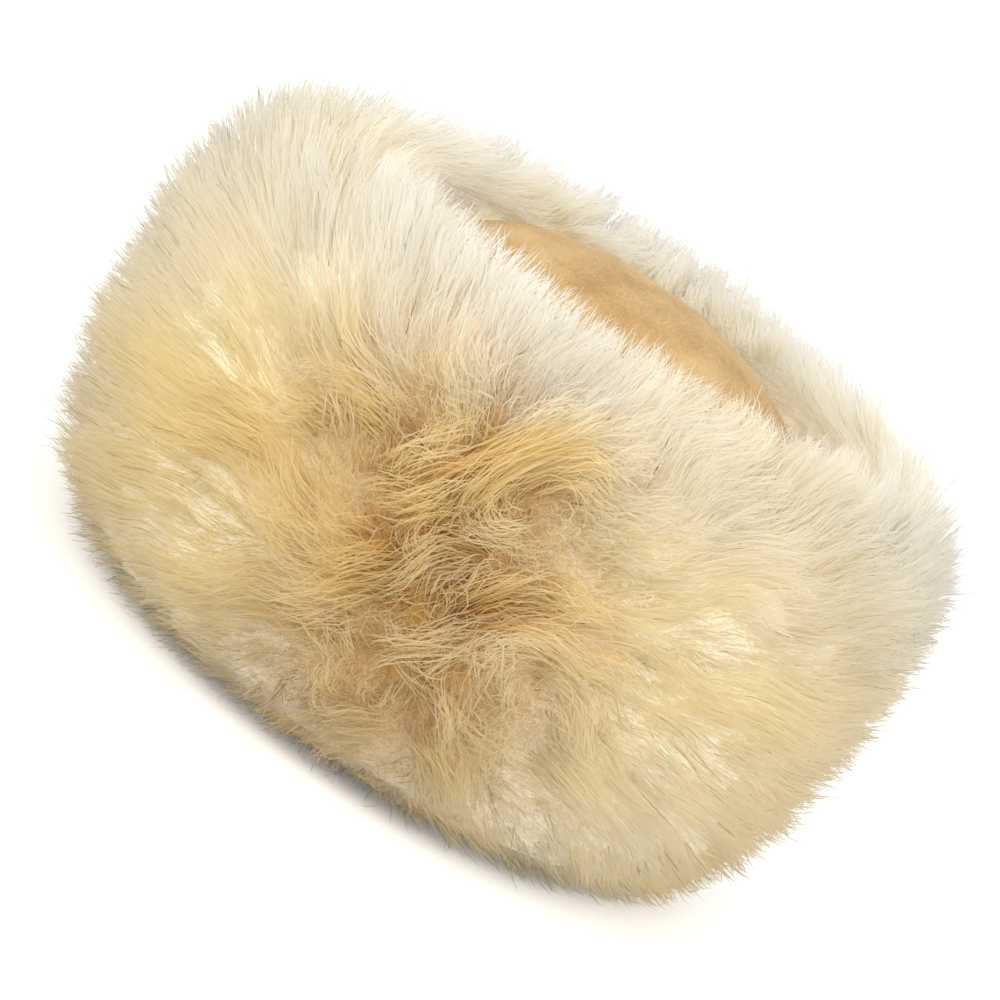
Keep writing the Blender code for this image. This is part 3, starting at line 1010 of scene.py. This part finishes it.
def new_group(name, inputs, outputs):
    """An empty shader node group with these sockets, given as (name, kind, value)."""
    group = bpy.data.node_groups.new(name, "ShaderNodeTree")
    for label, kind, value in inputs:
        socket = group.interface.new_socket(label, in_out="INPUT", socket_type=kind)
        socket.default_value = value
    for label, kind in outputs:
        group.interface.new_socket(label, in_out="OUTPUT", socket_type=kind)
    return group


def add_node(tree, kind, **values):
    """A new node of this kind, with these settings."""
    node = tree.nodes.new(kind)
    for key, value in values.items():
        setattr(node, key, value)
    return node


def feed(tree, source, target):
    """Gives an input what an output holds, or a plain value."""
    if isinstance(source, bpy.types.NodeSocket):
        tree.links.new(source, target)
    else:
        target.default_value = source


def feed_all(tree, node, values):
    """Feeds these inputs of a node, given by name."""
    for label, source in values.items():
        feed(tree, source, node.inputs[label])


def feed_in_turn(tree, node, *sources):
    """Feeds a node's first inputs."""
    for source, target in zip(sources, node.inputs):
        feed(tree, source, target)


def ramp_colour(tree, stops, share):
    """The colour at this share of a ramp with these stops, given as (place, colour)."""
    node = add_node(tree, "ShaderNodeValToRGB")
    ramp = node.color_ramp
    while len(ramp.elements) > 1:
        ramp.elements.remove(ramp.elements[-1])
    ramp.elements[0].position = stops[0][0]
    ramp.elements[0].color = (*stops[0][1], 1)
    for place, colour in stops[1:]:
        ramp.elements.new(place).color = (*colour, 1)
    feed(tree, share, node.inputs["Fac"])
    return node.outputs["Color"]


def noise_at(tree, coordinates, scale, detail, roughness):
    """A noise's value at these coordinates, from 0 to 1."""
    node = add_node(tree, "ShaderNodeTexNoise")
    feed_all(tree, node, {"Vector": coordinates, "Scale": scale, "Detail": detail, "Roughness": roughness})
    return node.outputs["Fac"]


def mixed(tree, kind, share, first, second, **values):
    """A mix of two numbers (FLOAT) or two colours (RGBA), with this share of the second."""
    node = add_node(tree, "ShaderNodeMix", data_type=kind, **values)
    first_socket, second_socket, result = MIX_SOCKETS[kind]
    feed(tree, share, node.inputs[0])
    feed(tree, first, node.inputs[first_socket])
    feed(tree, second, node.inputs[second_socket])
    return node.outputs[result]


def stretched(tree, value, limits):
    """The value, stretched from a range or to one."""
    node = add_node(tree, "ShaderNodeMapRange")
    feed_all(tree, node, {"Value": value, **limits})
    return node.outputs["Result"]


def add_bump(tree, shader, height, values):
    """Lets this height show in how the surface catches the light."""
    bump = add_node(tree, "ShaderNodeBump")
    feed_all(tree, bump, {"Height": height, **values})
    feed(tree, bump.outputs["Normal"], shader.inputs["Normal"])


def value_on_mesh(tree, name):
    """A number that add_values has put on the mesh."""
    return add_node(tree, "ShaderNodeAttribute", attribute_name=name).outputs["Fac"]


def place_on_object(tree):
    """Each point's place on its object, in metres."""
    return add_node(tree, "ShaderNodeTexCoord").outputs["Object"]


def new_material(name):
    """A material with its node tree and its shader."""
    material = bpy.data.materials.new(name)
    material.use_nodes = True
    tree = material.node_tree
    return material, tree, tree.nodes["Principled BSDF"]


def wool_colour_group():
    """The wool's colour: cream with paler tips; brown at the root where it parts or tangles, partly its own
    colour and partly painted shade; and yellower in warm places and under painted shade low down.
    """
    values = (("Grown", 1.0), ("Tone", 0.0), ("Warmth_And_Shade", 0.0), ("Tangle", 0.0))
    inputs = [(label, "NodeSocketFloat", value) for label, value in values]
    group = new_group("wool_colour", inputs, [("Color", "NodeSocketColor")])
    inside = add_node(group, "NodeGroupInput").outputs
    outside = add_node(group, "NodeGroupOutput")
    shifted = add_node(group, "ShaderNodeMath", operation="MULTIPLY_ADD")
    feed_in_turn(group, shifted, inside["Tone"], TONE_SHIFT, inside["Grown"])
    smooth = ramp_colour(group, SMOOTH_WOOL, shifted.outputs[0])
    parted = ramp_colour(group, TANGLED_AND_SHADED_WOOL, shifted.outputs[0])
    # Brown in partings and tangles: partly the roots' own colour, partly painted shade in the cracks
    both = mixed(group, "RGBA", inside["Tangle"], smooth, parted)
    # Yellower in the warm places and under the painted shade of the lower wool
    warmed = mixed(group, "RGBA", inside["Warmth_And_Shade"], both, (*WARM_WOOL, 1), blend_type="MULTIPLY")
    feed(group, warmed, outside.inputs["Color"])
    return group


def let_light_through(tree, shader, colour):
    """Mixes in light that passes through the wool, and takes on more of its colour on the way."""
    deeper = add_node(tree, "ShaderNodeGamma")
    feed_all(tree, deeper, {"Gamma": THROUGH_GAMMA, "Color": colour})
    through = add_node(tree, "ShaderNodeBsdfTranslucent")
    feed(tree, deeper.outputs["Color"], through.inputs["Color"])
    mix = add_node(tree, "ShaderNodeMixShader")
    feed_in_turn(tree, mix, THROUGH_SHARE, shader.outputs[0], through.outputs[0])
    feed(tree, mix.outputs[0], tree.nodes["Material Output"].inputs["Surface"])


def wool_material():
    """Long wool: each strand's colour with its painted shade, read from the mesh, and light that passes
    through it.
    """
    material, tree, shader = new_material("long_wool")
    wool = add_node(tree, "ShaderNodeGroup", node_tree=wool_colour_group())
    feed_all(tree, wool, {label: value_on_mesh(tree, label.lower()) for label in wool.inputs.keys()})
    colour = wool.outputs["Color"]
    feed_all(tree, shader, {"Base Color": colour, **WOOL_SURFACE})
    let_light_through(tree, shader, colour)
    return material


def underwool_material():
    """Dense short wool: pale and tangled, and brown where the long wool parts over it, partly its own colour
    and partly painted shade in the groove.
    """
    material, tree, shader = new_material("underwool")
    place = place_on_object(tree)
    broad = noise_at(tree, place, *UNDERWOOL_BROAD)
    fine = noise_at(tree, place, *UNDERWOOL_FINE)
    noise = mixed(tree, "FLOAT", UNDERWOOL_FINE_SHARE, broad, fine)
    pale = ramp_colour(tree, PALE_UNDERWOOL, noise)
    brown_and_shade = ramp_colour(tree, BROWN_AND_SHADED_UNDERWOOL, noise)
    # Brown in the partings' grooves: partly the underwool's own colour, partly painted shade
    colour = mixed(tree, "RGBA", value_on_mesh(tree, "tangle"), pale, brown_and_shade)
    feed_all(tree, shader, {"Base Color": colour, **UNDERWOOL_SURFACE})
    add_bump(tree, shader, noise, UNDERWOOL_BUMP)
    return material


def nap_group():
    """Brushed suede: patches where the nap lies another way, and its fine grain."""
    patch_scale, *patch_form = NAP_PATCHES
    grain_scale, *grain_form = NAP_GRAIN
    group = new_group(
        "suede_nap",
        [
            ("Dark", "NodeSocketColor", WHITE),
            ("Light", "NodeSocketColor", WHITE),
            ("Patch Scale", "NodeSocketFloat", patch_scale),
            ("Grain Scale", "NodeSocketFloat", grain_scale),
        ],
        [("Color", "NodeSocketColor"), ("Height", "NodeSocketFloat"), ("Roughness", "NodeSocketFloat")],
    )
    inside = add_node(group, "NodeGroupInput").outputs
    outside = add_node(group, "NodeGroupOutput")
    place = place_on_object(group)
    patches = noise_at(group, place, inside["Patch Scale"], *patch_form)
    grain = noise_at(group, place, inside["Grain Scale"], *grain_form)
    height = mixed(group, "FLOAT", NAP_GRAIN_SHARE, patches, grain)
    share = stretched(group, height, NAP_SPREAD)
    colour = mixed(group, "RGBA", share, inside["Dark"], inside["Light"])
    rough = stretched(group, grain, NAP_ROUGHNESS)
    feed_all(group, outside, {"Color": colour, "Height": height, "Roughness": rough})
    return group


def suede_material(name, group, dark, light, sheen):
    """Suede with its own two colours and sheen."""
    material, tree, shader = new_material(name)
    nap = add_node(tree, "ShaderNodeGroup", node_tree=group)
    feed_all(tree, nap, {"Dark": (*dark, 1), "Light": (*light, 1)})
    feed_all(tree, shader, {"Base Color": nap.outputs["Color"], "Roughness": nap.outputs["Roughness"]})
    feed_all(tree, shader, {"Sheen Weight": sheen, **SUEDE_SURFACE})
    add_bump(tree, shader, nap.outputs["Height"], SUEDE_BUMP)
    return material


def floor_material():
    """A pale floor, which looks brighter to the camera than it shines on the hat."""
    material, tree, shader = new_material("pale_floor")
    speck = noise_at(tree, place_on_object(tree), *FLOOR_SPECKS)
    pale = ramp_colour(tree, FLOOR_COLOURS, speck)
    by_camera = add_node(tree, "ShaderNodeLightPath").outputs["Is Camera Ray"]
    colour = mixed(tree, "RGBA", by_camera, (*FLOOR_BOUNCE, 1), pale)
    shine = mixed(tree, "FLOAT", by_camera, 0.0, FLOOR_SHINE)
    feed_all(tree, shader, {"Base Color": colour, "Emission Strength": shine, **FLOOR_SURFACE})
    return material


def add_camera():
    """The camera looks at the wearer's left side, a little from above, and leans to one side."""
    around = math.radians(CAMERA_AROUND)
    above = math.radians(CAMERA_ABOVE)
    roll = math.radians(CAMERA_ROLL)
    back = Vector((math.cos(around) * math.cos(above), math.sin(around) * math.cos(above), math.sin(above)))
    level_right = Vector((-math.sin(around), math.cos(around), 0.0))
    level_up = back.cross(level_right)
    right = level_right * math.cos(roll) + level_up * math.sin(roll)
    up = level_up * math.cos(roll) - level_right * math.sin(roll)
    data = bpy.data.cameras.new("camera")
    data.sensor_width = SENSOR
    data.lens = SENSOR * CAMERA_DISTANCE / SEEN_WIDTH
    data.clip_end = FARTHEST_SEEN
    camera = in_scene("camera", data)
    camera.matrix_world = Matrix((right, up, back)).transposed().to_4x4()
    camera.location = Vector((0.0, AIM_Y, AIM_HEIGHT)) + back * CAMERA_DISTANCE
    bpy.context.scene.camera = camera


def add_lights():
    """Soft round lights, turned to the hat."""
    for name, place, size, watts in LIGHTS:
        data = bpy.data.lights.new(name, "AREA")
        data.shape = "DISK"
        data.size = size
        data.energy = watts
        light = in_scene(name, data)
        light.location = place
        way = Vector(LIT_PLACE) - Vector(place)
        light.rotation_euler = way.to_track_quat("-Z", "Y").to_euler()


def add_floor():
    """The pale floor that the hat stands on."""
    corners = FLOOR_SIDE / 2 * np.array([[-1, -1, 0], [1, -1, 0], [1, 1, 0], [-1, 1, 0]])
    mesh = mesh_from_faces("floor", corners, np.array([[0, 1, 2, 3]]))
    mesh.materials.append(floor_material())
    floor = in_scene("floor", mesh)


def add_room():
    """A bright room, white to the camera and a little dimmer to the hat."""
    world = bpy.data.worlds.new("bright_room")
    world.use_nodes = True
    tree = world.node_tree
    glow = tree.nodes["Background"]
    feed_all(tree, glow, {"Color": WHITE, "Strength": WORLD_GLOW})
    seen = add_node(tree, "ShaderNodeBackground")
    feed(tree, WHITE, seen.inputs["Color"])
    by_camera = add_node(tree, "ShaderNodeLightPath").outputs["Is Camera Ray"]
    mix = add_node(tree, "ShaderNodeMixShader")
    feed_in_turn(tree, mix, by_camera, glow.outputs[0], seen.outputs[0])
    feed(tree, mix.outputs[0], tree.nodes["World Output"].inputs["Surface"])
    bpy.context.scene.world = world
    bpy.context.scene.view_settings.view_transform = "Standard"


def main():
    make_wool(wool_material())
    make_underwool(underwool_material())
    nap = nap_group()
    make_crown(suede_material("crown_suede", nap, *CROWN_SUEDE))
    make_brim(suede_material("brim_leather", nap, *BRIM_SUEDE))
    add_camera()
    add_lights()
    add_floor()
    add_room()


main()
